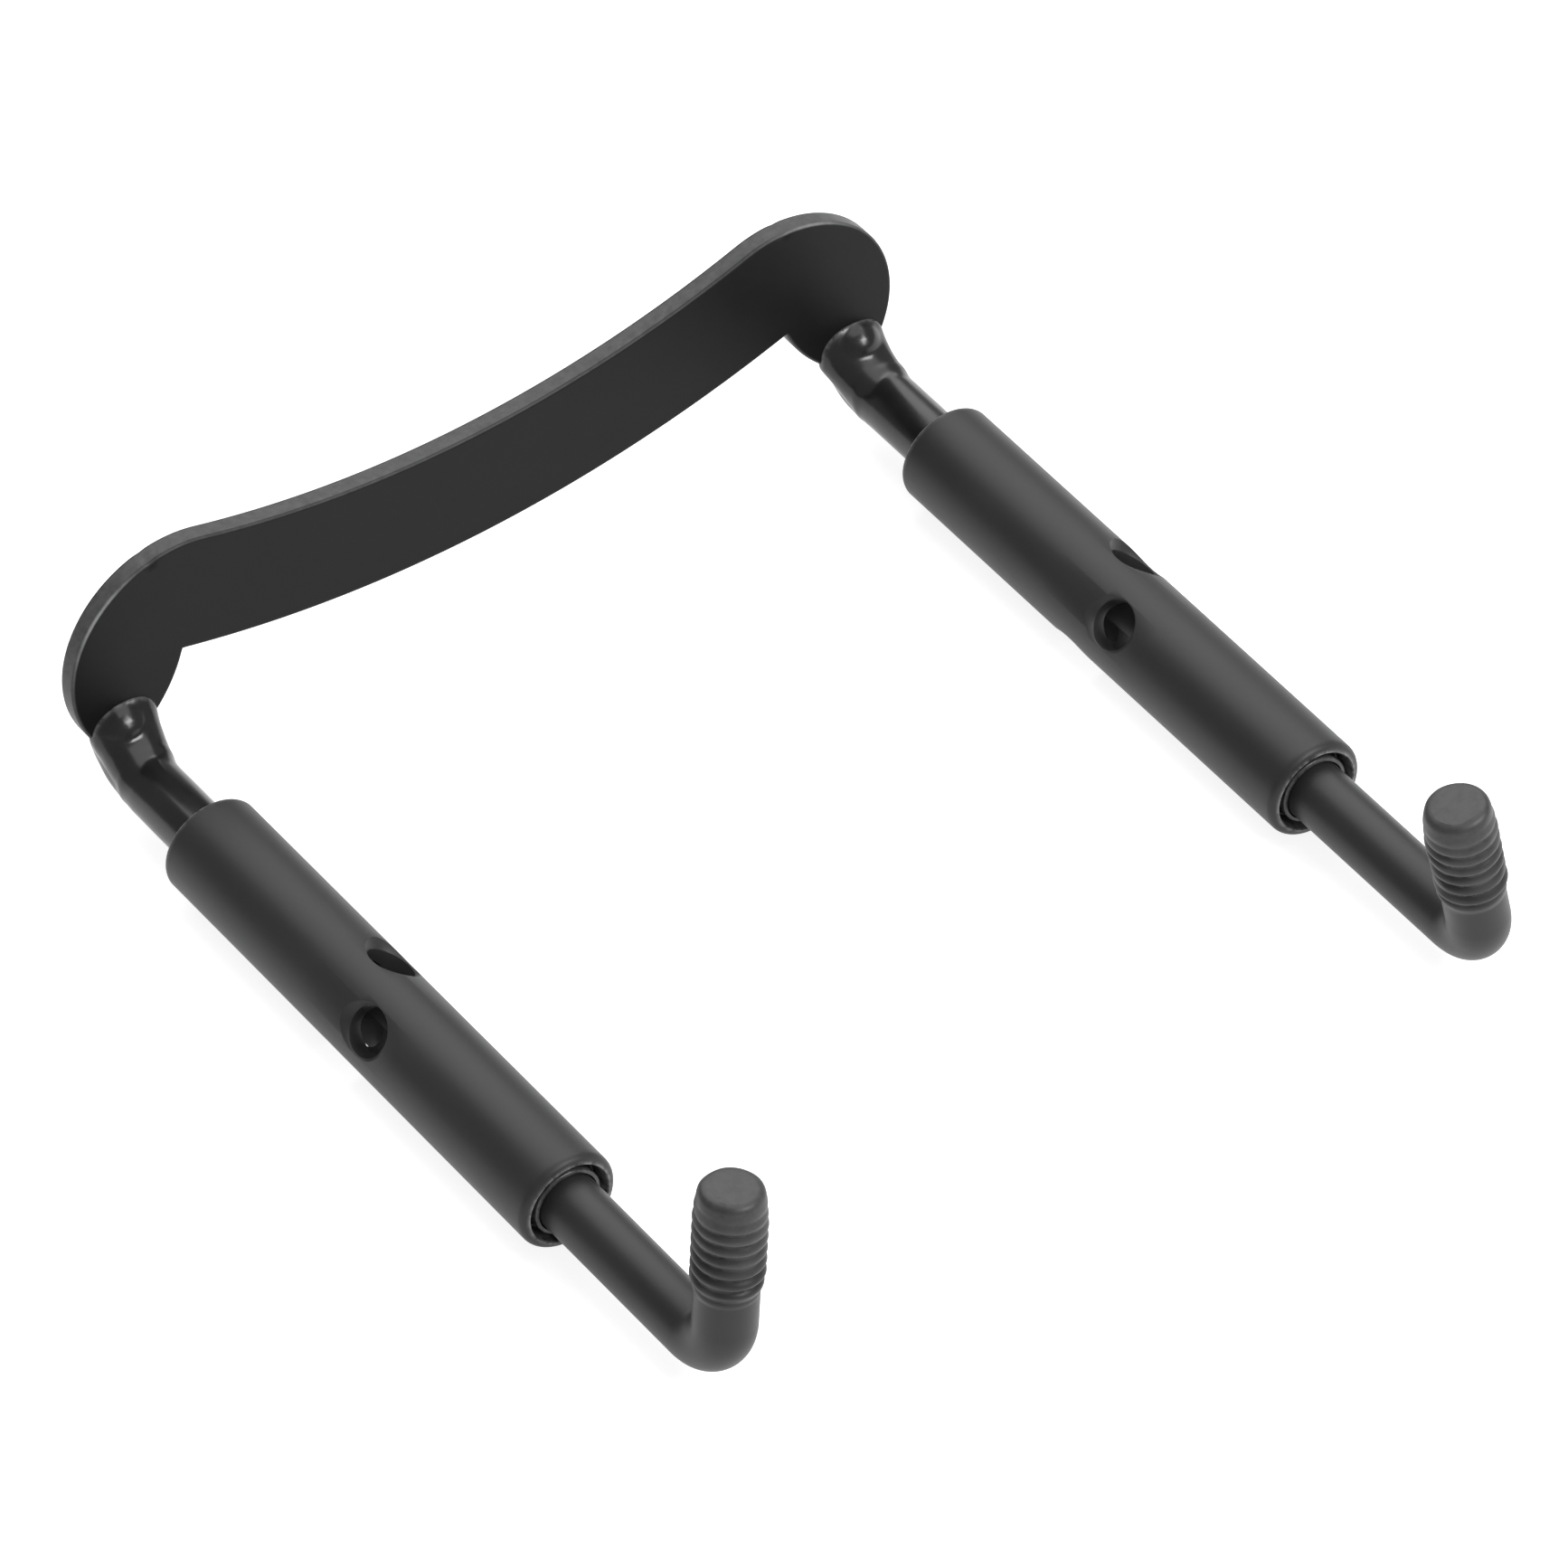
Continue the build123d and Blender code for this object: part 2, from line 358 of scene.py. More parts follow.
# Rings of points on the two faces, as distances in from the outline
FRONT_RINGS = (0.55, 0.30, 0.17)
BACK_RINGS = (0.30, 0.55)
# Rings of points round the edge, as shares of the thickness
FLANK_RINGS = (0.3, 0.5, 0.7)
# How far in from the outline the nicks, the wear and the painted highlight of the arris reach
ARRIS_REACH = 0.18

# Nicks in the plate's arris: x, height above the rod axis, width and depth
NICKS = ((-16.4, 9.6, 0.22, 0.09), (15.6, 9.7, 0.20, 0.09), (17.9, 8.9, 0.16, 0.05))
# Stretches of arris that are rubbed through: x, height, reach and how far they are rubbed
SCUFFS = ((-18.9, 7.6, 1.9, 1.0), (17.0, 9.3, 1.6, 0.6))
SCUFF_DENT = 0.02
SCUFF_GRAIN = 3.1
# A nick is this much as deep at the back, and its front slopes away by this share of its depth
NICK_AT_BACK = 0.5
NICK_SLOPE = 0.6
# Painted highlight: a light line along the whole front arris where the edge catches the light; SCUFF_WEAR
# adds real rubbing at the scuffs
ARRIS_HIGHLIGHT = 0.30
SCUFF_WEAR = 1.70
# Painted light: the flank of the top edge is made lighter as if lit from above, while the bottom edge stays
# dark
FLANK_PAINTED_LIGHT = 0.36


def resample(points, step):
    """Evenly spaced points along a line of points, without the last one."""
    result = []
    for a, b in zip(points, points[1:]):
        pieces = max(1, round(math.dist(a, b) / step))
        for i in range(pieces):
            result.append((a[0] + (b[0] - a[0]) * i / pieces, a[1] + (b[1] - a[1]) * i / pieces))
    return result


def bowed(x, height, bow_r):
    """Height of an edge that rises from its middle as an arc of radius bow_r."""
    return height + bow_r - math.sqrt(bow_r ** 2 - x ** 2)


def bowed_edge(end_x, height, bow_r):
    """Points of a bowed edge from its middle out to end_x."""
    stations = [end_x * i / CURVE_STEPS for i in range(CURVE_STEPS + 1)]
    return [(x, bowed(x, height, bow_r)) for x in stations]


def plate_outline(step):
    """Closed outline in x and height above the rod axis, anticlockwise from the belly's middle."""
    reach = CREST_BOW_R + SHOULDER_R
    centre = (SHOULDER_X, CREST_HEIGHT + CREST_BOW_R - math.sqrt(reach ** 2 - SHOULDER_X ** 2))
    top = math.degrees(math.atan2(CREST_HEIGHT + CREST_BOW_R - centre[1], -SHOULDER_X))
    tab_dx, tab_dz = TAB_X - centre[0], TAB_HEIGHT - centre[1]
    tab_r = SHOULDER_R - math.hypot(tab_dx, tab_dz)
    side_turn = math.degrees(math.atan2(tab_dz, tab_dx))
    join_x = SHOULDER_X * CREST_BOW_R / reach

    notch = (NOTCH_X, bowed(NOTCH_X, BELLY_HEIGHT, BELLY_BOW_R))
    belly = bowed_edge(NOTCH_X, BELLY_HEIGHT, BELLY_BOW_R)
    tab = arc((TAB_X, TAB_HEIGHT), tab_r, TAB_INNER_TURN, 360 + side_turn, CURVE_STEPS)
    inner = tab_inner_side(notch, tab[0], TAB_INNER_TURN)
    shoulder = arc(centre, SHOULDER_R, side_turn, top, SHOULDER_STEPS)
    crest = bowed_edge(join_x, CREST_HEIGHT, CREST_BOW_R)[::-1]
    half = belly[:-1] + inner[:-1] + tab[:-1] + shoulder[:-1] + crest
    other = [(-x, z) for x, z in reversed(half)]
    return resample(half[:-1] + other[:-1] + [half[0]], step)


def tab_inner_side(notch, tab_point, turn_degrees):
    """The tab's inner side, an arc that leaves the tab's round along its tangent."""
    turn = math.radians(turn_degrees)
    tangent = Vector((math.sin(turn), -math.cos(turn)))
    chord = Vector(notch) - Vector(tab_point)
    normal = Vector((-tangent.y, tangent.x))
    radius = chord.length_squared / (2 * chord.dot(normal))
    centre = Vector(tab_point) + normal * radius
    start = math.degrees(math.atan2(notch[1] - centre.y, notch[0] - centre.x))
    end = math.degrees(math.atan2(tab_point[1] - centre.y, tab_point[0] - centre.x))
    while end - start > 180:
        end -= 360
    while end - start < -180:
        end += 360
    return arc(centre, abs(radius), start, end, TAB_SIDE_STEPS)


def scuff(x, z):
    """Up to 1 on the stretches of arris that are rubbed through, fading to 0 elsewhere."""
    rubbed = sum(depth * bell(math.hypot(x - at_x, z - at_z), reach) for at_x, at_z, reach, depth in SCUFFS)
    return min(1.0, rubbed)


def plate_nick(x, z):
    """How far the arris is knocked back, in millimetres: a few nicks and the scuffed stretches."""
    dent = sum(depth * bell(math.hypot(x - at_x, z - at_z), width) for at_x, at_z, width, depth in NICKS)
    grain = noise.noise(Vector((x * SCUFF_GRAIN, z * SCUFF_GRAIN, 3.0)))
    return dent + SCUFF_DENT * scuff(x, z) * max(0.0, grain)


def plate_section():
    """The plate's edge in section, front to back: (distance in from the outline, depth behind the face)."""
    flank = PLATE_THICKNESS - PLATE_EDGE
    turns = [math.radians(90 * i / ARRIS_STEPS) for i in range(ARRIS_STEPS + 1)]
    section = [(inset, 0.0) for inset in FRONT_RINGS]
    section += [(PLATE_EDGE * (1 - math.sin(turn)), PLATE_EDGE * (1 - math.cos(turn))) for turn in turns]
    section += [(0.0, PLATE_THICKNESS * share) for share in FLANK_RINGS]
    section += [(PLATE_EDGE * (1 - math.cos(turn)), flank + PLATE_EDGE * math.sin(turn)) for turn in turns]
    return section + [(inset, PLATE_THICKNESS) for inset in BACK_RINGS]


def make_plate():
    outline = plate_outline(OUTLINE_STEP)
    count = len(outline)
    normals = []
    for i in range(count):
        before, after = Vector(outline[i - 2]), Vector(outline[(i + 2) % count])
        along = (after - before).normalized()
        normals.append(Vector((along.y, -along.x)))

    section = plate_section()
    points, wear_and_painted_light = [], []
    for inset, depth in section:
        on_arris = 0.0 < inset < ARRIS_REACH
        front = depth < PLATE_THICKNESS / 2
        middle = max(0.0, 1.0 - abs(inset - PLATE_EDGE * 0.3) / (PLATE_EDGE * 0.45))
        for (x, z), normal in zip(outline, normals):
            nick = plate_nick(x, z) if on_arris or inset == 0.0 else 0.0
            at = Vector((x, z)) - normal * (inset + nick * (1.0 if front else NICK_AT_BACK))
            shift = nick * NICK_SLOPE if on_arris and front else 0.0
            points.append((at.x, GRIP_Y + depth + shift, AXIS_Z + at.y))
            # Painted light on the upper flank, lighter only above the tabs, where the edge faces the lamps
            flank_painted_light = FLANK_PAINTED_LIGHT if inset == 0.0 and z > TAB_HEIGHT else 0.0
            # Painted highlight along the front arris, brighter where the coating is really rubbed through at
            # the scuffs
            arris_highlight_and_wear = middle * (ARRIS_HIGHLIGHT + SCUFF_WEAR * scuff(x, z))
            wear_and_painted_light.append(arris_highlight_and_wear if on_arris and front else flank_painted_light)
    faces = grid_faces(len(section), count)
    faces.append(tuple(range(count)))
    faces.append(tuple(reversed(range((len(section) - 1) * count, len(section) * count))))
    plate = make_object("plate", points, faces, 50.0, wear_and_painted_light)
    work = bmesh.new()
    work.from_mesh(plate.data)
    bmesh.ops.triangulate(work, faces=[f for f in work.faces if len(f.verts) > 4])
    bmesh.ops.recalc_face_normals(work, faces=work.faces)
    work.to_mesh(plate.data)
    work.free()
    return plate


# ---------------------------------------------------------------- studs with their beads

BALL_STEPS = 12
BALL_SEGMENTS = 24
STUD_SEGMENTS = 64
STUD_STEPS = 24
ELBOW_STEPS = 16

# Sections of the bead, from the stud to the plate: distance in front of the grip face,
# bottom and top above the rod axis, and half width
BEAD = ((2.9, -1.24, 1.26, 1.26), (2.3, -1.20, 1.31, 1.30), (1.8, -1.08, 1.46, 1.37),
        (1.4, -0.88, 1.66, 1.40), (1.0, -0.66, 1.95, 1.43), (0.6, -0.38, 2.32, 1.48),
        (0.3, -0.12, 2.64, 1.54), (0.1, 0.08, 2.88, 1.60), (0.0, 0.16, 3.00, 1.63),
        (-0.3, 0.20, 2.98, 1.62))
BEAD_STEPS = 5
BEAD_SEGMENTS = 64
BEAD_SQUARENESS = 2.25
# The bead leans towards the middle of the plate by this much at the face, starting this far in front
BEAD_SHIFT = 0.14
BEAD_SHIFT_START = 2.0

# Low ridge round the bead: how far in front of the face, how wide and how high
RIDGE_AT = 1.75
RIDGE_WIDTH = 0.22
RIDGE_HEIGHT = 0.03
# Lumps and dimples fade out before the barrel slides over the stud
LUMPS_END = 2.3
LUMPS_FADE = 0.7
LUMP_SCALE = 0.8
LUMP_HEIGHT = 0.035
DIMPLE_SCALE = 2.2
DIMPLE_HEIGHT = 0.006
STREAK_SCALE = 1.6
STREAK_STRETCH = 0.4
STREAK_HEIGHT = 0.012

# The whole neck is drawn up and inwards as it nears the plate
PULL_START = 2.6
PULL_UP = 0.38
PULL_IN = 0.10
PULL_UP_BELOW = 0.8
PULL_UP_FADE = 1.8

# The bead's rim shows a rubbed line
RIM_AT = 0.05
RIM_WIDTH = 0.07
RIM_WEAR = 0.55

NECK_VOXEL = 0.065
NECK_SMOOTHING = 24
NECK_SEEDS = {"left": 1.0, "right": 7.0}


def tube(path, radii, segments):
    """Closed tube along a path in a YZ plane: (x, y, z) points, one radius each."""
    points = []
    across = Vector((1, 0, 0))
    for i, (here, radius) in enumerate(zip(path, radii)):
        before, after = Vector(path[max(i - 1, 0)]), Vector(path[min(i + 1, len(path) - 1)])
        up = (after - before).normalized().cross(across)
        for k in range(segments):
            turn = 2 * math.pi * k / segments
            sideways, upwards = radius * math.cos(turn), radius * math.sin(turn)
            points.append(Vector(here) + across * sideways + up * upwards)
    return points, capped_faces(len(path), segments)


def smooth_line(knots, steps):
    """Catmull-Rom curve through knots of any dimension."""
    padded = [knots[0]] + list(knots) + [knots[-1]]
    line = []
    for i in range(1, len(padded) - 2):
        a, b, c, d = (Vector(padded[i + k]) for k in (-1, 0, 1, 2))
        for k in range(steps):
            t = k / steps
            line.append(0.5 * (2 * b + (c - a) * t + (2 * a - 5 * b + 4 * c - d) * t * t
                               + (3 * b - a - 3 * c + d) * t ** 3))
    line.append(Vector(knots[-1]))
    return line


def ball(centre, radius):
    """Round end as rings of points, to be merged into the stud."""
    turns = [math.pi * i / BALL_STEPS for i in range(1, BALL_STEPS)]
    path = [Vector(centre) + Vector((0, -radius * math.cos(turn), 0)) for turn in turns]
    return tube(path, [radius * math.sin(turn) for turn in turns], BALL_SEGMENTS)


def bead_loft(x, y, z):
    """Flared bead as a loft of rounded sections parallel to the plate."""
    power = BEAD_SQUARENESS
    sections = smooth_line(BEAD, BEAD_STEPS)
    points = []
    inward = -BEAD_SHIFT if x > 0 else BEAD_SHIFT
    for front, bottom, top, half in sections:
        centre_x = x + inward * clamp(1.0 - front / BEAD_SHIFT_START)
        for k in range(BEAD_SEGMENTS):
            turn = 2 * math.pi * k / BEAD_SEGMENTS
            across, up = math.cos(turn), math.sin(turn)
            size = (abs(across) ** power + abs(up) ** power) ** (-1 / power)
            points.append(Vector((centre_x + half * size * across, y - front,
                                  z + (top + bottom) / 2 + (top - bottom) / 2 * size * up)))
    return points, capped_faces(len(sections), BEAD_SEGMENTS)


def bead_relief(at, in_front, seed):
    """Lumps and the low ridge of the bead, in millimetres outwards."""
    near = clamp((LUMPS_END - in_front) / LUMPS_FADE)
    ridge = RIDGE_HEIGHT * bell(in_front - RIDGE_AT, RIDGE_WIDTH)
    lumps = noise.noise(at * LUMP_SCALE + Vector((seed, 0, 0))) * LUMP_HEIGHT
    dimples = noise.noise(at * DIMPLE_SCALE) * DIMPLE_HEIGHT
    along = Vector((at.x * STREAK_SCALE, at.y * STREAK_STRETCH, at.z * STREAK_SCALE))
    return near * (ridge + (lumps + dimples)) + noise.noise(along) * STREAK_HEIGHT


def neck_blank(side):
    """Stud, its round end and its bead as one mesh of overlapping closed parts."""
    x = AXIS[side]["x"]
    y, z = GRIP_Y, AXIS_Z
    foot_y = y + FOOT_OFFSET
    start_y = box_mm(f"{side}_stud")[0].y
    bend = arc((foot_y - ELBOW_R, z + ELBOW_R), ELBOW_R, 270, 360, ELBOW_STEPS)
    straight = [(start_y + (bend[0][0] - start_y) * i / STUD_STEPS, z) for i in range(STUD_STEPS)]
    stud_line = [(x, along, up) for along, up in straight + bend]
    parts = [tube(stud_line, [ROD_R] * len(stud_line), STUD_SEGMENTS),
             ball((x, foot_y, z + ELBOW_R), ROD_R), bead_loft(x, y, z)]
    points, faces = [], []
    for part_points, part_faces in parts:
        start = len(points)
        points += part_points
        faces += [tuple(i + start for i in face) for face in part_faces]
    return make_object("neck", points, faces)


def make_neck(side):
    """Bent stud and its brazed bead, merged into one skin."""
    neck = neck_blank(side)
    fix_normals(neck)
    scale_mesh(neck, 1 / MM)
    apply_modifier(neck, "REMESH", mode="VOXEL", voxel_size=NECK_VOXEL)
    apply_modifier(neck, "SMOOTH", factor=0.5, iterations=NECK_SMOOTHING)

    back_y = box_mm(f"{side}_stud")[1].y
    inward = -PULL_IN if AXIS[side]["x"] > 0 else PULL_IN
    before = [(vertex.co.copy(), vertex.normal.copy()) for vertex in neck.data.vertices]
    moved, wear_and_painted_light = [], []
    for at, normal in before:
        in_front = GRIP_Y - at.y
        near = clamp(1.0 - in_front / PULL_START)
        below = clamp((PULL_UP_BELOW - (at.z - AXIS_Z)) / PULL_UP_FADE)
        lifted = at + normal * bead_relief(at, in_front, NECK_SEEDS[side])
        lifted.z += PULL_UP * near * near * below
        lifted.x += inward * near
        lifted.y = min(lifted.y, back_y)
        moved.extend(lifted)
        wear_and_painted_light.append(RIM_WEAR * bell(in_front - RIM_AT, RIM_WIDTH))
    neck.data.vertices.foreach_set("co", moved)
    neck.data.update()
    set_wear_and_painted_light(neck.data, wear_and_painted_light)
    shade_smooth(neck.data)
    scale_mesh(neck, MM)
    return neck


# ---------------------------------------------------------------- barrels and bushes

BARREL_EDGE = 0.10
BORE_CHAMFER = 0.12
# Rings close to each end, so that the rubbed edges stay narrow
PLATE_END_RINGS = (0.25, 0.5)
HOOK_END_RINGS = (0.9, 0.6)
BODY_RINGS = 8
RIM_STEPS = 8
MOUTH_CHAMFER = 0.05
LIP_CHAMFER = 0.04
LIP_SHELF = 0.12
BARREL_SEGMENTS = 144
KEY_HOLE_SEGMENTS = 72
BARREL_BEVEL = 0.035
# Rubbed edges: distance from the nominal edge, and how far the wear spreads along and across
MOUTH_WEAR = {"out": MOUTH_R + 0.03, "along": 0.10, "across": 0.10}
REAR_WEAR = {"in": 0.05, "along": 0.09, "across": 0.12, "amount": 0.9}


def barrel_profile(length, radius):
    """Closed profile of the barrel's wall: outside, mouth recess, staked lip, chamber and bore."""
    ledge = length - LIP_FROM_END
    lip = ledge - LIP_THICKNESS
    chamber = lip - CHAMBER_LENGTH
    edge = BARREL_EDGE
    profile = [(0.0, BORE_R + BORE_CHAMFER), (0.0, radius - edge), (edge * 0.3, radius - edge * 0.3),
               (edge, radius)]
    profile += [(along, radius) for along in PLATE_END_RINGS]
    profile += [(length * i / BODY_RINGS, radius) for i in range(1, BODY_RINGS)]
    profile += [(length - along, radius) for along in HOOK_END_RINGS]
    profile += arc((length - BARREL_ROUND, radius - BARREL_ROUND), BARREL_ROUND, 90, 0, RIM_STEPS)
    profile += [(length, MOUTH_R + MOUTH_CHAMFER), (length - MOUTH_CHAMFER, MOUTH_R)]
    profile += [(ledge, LIP_R + LIP_SHELF), (ledge, LIP_R + LIP_CHAMFER), (ledge - LIP_CHAMFER, LIP_R)]
    profile += [(lip, LIP_R), (lip, CHAMBER_R), (chamber, CHAMBER_R), (chamber, BORE_R)]
    profile += [(BORE_CHAMFER, BORE_R)]
    return profile


def key_hole_cutter(side, place, turn_degrees):
    """Cylinder with conical mouths, across the barrel."""
    axis = AXIS[side]
    radius = axis["radius"]
    mouth = KEY_HOLE_R + 3 * KEY_HOLE_LIP
    profile = [(-radius - KEY_HOLE_LIP, mouth), (-radius + 2 * KEY_HOLE_LIP, KEY_HOLE_R),
               (radius - 2 * KEY_HOLE_LIP, KEY_HOLE_R), (radius + KEY_HOLE_LIP, mouth)]
    turn = math.radians(turn_degrees)
    along = Vector((-math.sin(turn), 0, math.cos(turn)))
    across = Vector((0, 1, 0))
    third = along.cross(across)
    centre = Vector((axis["x"], axis["plate_end"] - place, axis["z"]))
    points = []
    for reach, r in profile:
        for i in range(KEY_HOLE_SEGMENTS):
            a = 2 * math.pi * i / KEY_HOLE_SEGMENTS
            points.append(centre + along * reach + across * (r * math.cos(a)) + third * (r * math.sin(a)))
    cutter = make_object("cutter", points, capped_faces(len(profile), KEY_HOLE_SEGMENTS))
    fix_normals(cutter)
    scale_mesh(cutter, 1 / MM)
    return cutter


def barrel_wear(at, axis, length):
    """Coating rubbed off the mouth's rim and off the edge at the plate's end."""
    along = axis["plate_end"] - at.y
    out = math.hypot(at.x - axis["x"], at.z - axis["z"])
    mouth = bell(along - length, MOUTH_WEAR["along"]) * bell(out - MOUTH_WEAR["out"], MOUTH_WEAR["across"])
    rear_edge = axis["radius"] - REAR_WEAR["in"]
    rear = bell(along, REAR_WEAR["along"]) * bell(out - rear_edge, REAR_WEAR["across"])
    return min(1.0, mouth + REAR_WEAR["amount"] * rear)


def make_barrel(side):
    axis = AXIS[side]
    length = axis["plate_end"] - axis["hook_end"]
    points, faces = lathe(barrel_profile(length, axis["radius"]), side, BARREL_SEGMENTS)
    barrel = make_object("barrel", points, faces)
    fix_normals(barrel)
    scale_mesh(barrel, 1 / MM)
    for index, place in enumerate(KEY_HOLES_AT):
        cutter = key_hole_cutter(side, place, KEY_HOLE_TURNS[side] - 90 * index)
        apply_modifier(barrel, "BOOLEAN", operation="DIFFERENCE", solver="EXACT", object=cutter)
        bpy.data.objects.remove(cutter)
    shade_smooth(barrel.data)
    apply_modifier(barrel, "BEVEL", width=BARREL_BEVEL, segments=2, limit_method="ANGLE",
                   angle_limit=math.radians(30))
    set_wear_and_painted_light(barrel.data, [barrel_wear(vertex.co, axis, length) for vertex in barrel.data.vertices])
    barrel.data.set_sharp_from_angle(angle=math.radians(34))
    scale_mesh(barrel, MM)
    return barrel


BUSH_CHAMFER = 0.05
BUSH_CLEARANCE = 0.05
BUSH_FILLET = 0.03
BUSH_NOSE_ROUND = 0.10
BUSH_BORE_CHAMFER = 0.04
BUSH_SEGMENTS = 96
BUSH_WEAR = 0.25


def make_bush(side):
    """Flanged ring with a rounded nose that hugs the shank."""
    low, high = box_mm(f"{side}_bush")
    start = AXIS[side]["plate_end"] - high.y
    end = AXIS[side]["plate_end"] - low.y
    flange_r = (high.x - low.x) / 2
    nose_r = LIP_R - BUSH_CLEARANCE
    step = start + BUSH_FLANGE
    profile = [(start, BORE_R), (start, flange_r - BUSH_CHAMFER), (start + BUSH_CHAMFER, flange_r),
               (step, flange_r), (step, nose_r + BUSH_FILLET), (step + BUSH_FILLET, nose_r)]
    profile += arc((end - BUSH_NOSE_ROUND, nose_r - BUSH_NOSE_ROUND), BUSH_NOSE_ROUND, 90, 0, 5)
    profile += [(end, BORE_R + BUSH_BORE_CHAMFER / 2), (end - BUSH_BORE_CHAMFER, BORE_R)]
    points, faces = lathe(profile, side, BUSH_SEGMENTS)
    bush = make_object("bush", points, faces, wear_and_painted_light=[BUSH_WEAR] * len(points))
    fix_normals(bush)
    return bush


# ---------------------------------------------------------------- hooks

HOOK_SEGMENTS = 72
HOOK_SEEDS = {"left": 2.0, "right": 9.0}
HEAD_CENTRE_R = 0.4
HEAD_FILLET = 0.03
FILLET_LENGTH = 0.05
SHANK_GAP = 0.1
SHANK_STEPS = 90
BEND_STEPS = 40
# The bend is drawn in at its sides by up to this much
BEND_SQUEEZE = 0.02
LEG_STEP = 0.15
THREAD_STEP = 0.04
THREAD_LEAD = 0.1

# The thread starts over this many turns, and its crests are dented by up to CREST_DENT
THREAD_RUN_IN = 1.3
CREST_DROP = 0.012
CREST_DENT = 0.07
CREST_SHARPNESS = 0.55
ROOT_WOBBLE = 0.10
LEAST_DEPTH = 0.02
WOBBLE_AROUND = 1.3
WOBBLE_ALONG = 1.1
# Towards its end the tip tapers, more on one side, and the grooves fade out
TAPER_LENGTH = 1.7
TAPER = 0.16
TAPER_LEAN = 0.07
FADE_START = 0.3
FADE_LENGTH = 1.1
LEAST_FADE = 0.1
# Grooves are shallower in patches
SHALLOW = 0.45
PATCH_AROUND = 1.1
PATCH_ALONG = 0.5

TIP_STEPS = 8
TIP_SHOULDER = 0.10
TIP_ROUND = 0.26
TIP_FACE_RINGS = (0.98, 0.8, 0.5, 0.15)
TIP_WEAR = 0.45
TIP_FACE_WEAR = 0.5
CREST_WEAR = 0.5
CREST_WEAR_START = 1.0
CREST_WEAR_FADE = 2.6


def thread_radius(height, turn, thread_start, seed):
    """Radius of the rolled thread at a height along the leg, and how far that point is up on a crest."""
    around = Vector((math.cos(turn), math.sin(turn), 0))
    to_end = thread_start + THREAD_LENGTH - height
    started = clamp((height - thread_start) / (THREAD_RUN_IN * THREAD_PITCH))
    wobble = noise.noise(Vector((around.x * WOBBLE_AROUND, around.y * WOBBLE_AROUND,
                                 height * WOBBLE_ALONG + seed)))
    patch = 0.5 + 0.5 * noise.noise(Vector((around.x * PATCH_AROUND + seed, around.y * PATCH_AROUND,
                                            height * PATCH_ALONG)))

    taper = max(0.0, 1.0 - to_end / TAPER_LENGTH) ** 2
    lean = TAPER_LEAN * (1.0 + math.cos(turn - seed))
    crest = TIP_R - CREST_DROP - CREST_DENT * max(0.0, wobble) - (TAPER + lean) * taper
    root = min(crest - LEAST_DEPTH, THREAD_ROOT_R + ROOT_WOBBLE * wobble)

    depth = clamp((to_end - FADE_START) / FADE_LENGTH, low=LEAST_FADE) * (SHALLOW + (1 - SHALLOW) * patch)
    phase = height / THREAD_PITCH - turn / (2 * math.pi)
    wave = 1.0 - depth * (1.0 - (0.5 + 0.5 * math.cos(2 * math.pi * phase)) ** CREST_SHARPNESS)
    return ROD_R + started * (root + (crest - root) * wave - ROD_R), started * wave


class Sweep:
    """Rings of points along the hook, drawn in its own plane with the shank's axis at height 0."""

    def __init__(self):
        self.points = []
        self.wear_and_painted_light = []
        self.rings = 0

    def add(self, y, z, tangent, radius_of):
        """One ring across the tangent (y, z). radius_of gives a radius and a wear for each turn."""
        normal = Vector((0, -tangent[1], tangent[0]))
        for k in range(HOOK_SEGMENTS):
            turn = 2 * math.pi * k / HOOK_SEGMENTS
            radius, wear_and_painted_light = radius_of(turn)
            across = Vector((1, 0, 0)) * (radius * math.cos(turn))
            self.points.append(Vector((0, y, z)) + across + normal * (radius * math.sin(turn)))
            self.wear_and_painted_light.append(wear_and_painted_light)
        self.rings += 1

    def add_round(self, y, z, tangent, radius, wear_and_painted_light=0.0):
        self.add(y, z, tangent, lambda turn: (radius, wear_and_painted_light))


def sweep_shank(sweep, head_y, bend_start):
    """Head and straight shank, towards the bend."""
    back = (-1.0, 0.0)
    sweep.add_round(head_y, 0, back, HEAD_CENTRE_R)
    for step, radius in ((0.0, HEAD_R - HEAD_CHAMFER), (HEAD_CHAMFER, HEAD_R),
                         (HEAD_LENGTH - HEAD_CHAMFER, HEAD_R), (HEAD_LENGTH, HEAD_R - HEAD_CHAMFER),
                         (HEAD_LENGTH, ROD_R + HEAD_FILLET), (HEAD_LENGTH + FILLET_LENGTH, ROD_R)):
        sweep.add_round(head_y - step, 0, back, radius)
    start = head_y - HEAD_LENGTH - SHANK_GAP
    for i in range(SHANK_STEPS + 1):
        sweep.add_round(start + (bend_start - start) * i / SHANK_STEPS, 0, back, ROD_R)


def sweep_bend(sweep, bend_start):
    for i in range(1, BEND_STEPS):
        bent = math.radians(90 * i / BEND_STEPS)
        squeeze = BEND_SQUEEZE * math.sin(2 * bent)
        sweep.add(bend_start - HOOK_BEND_R * math.sin(bent), HOOK_BEND_R * (1 - math.cos(bent)),
                  (-math.cos(bent), math.sin(bent)),
                  lambda turn, squeeze=squeeze: (ROD_R - squeeze * abs(math.sin(turn)), 0.0))


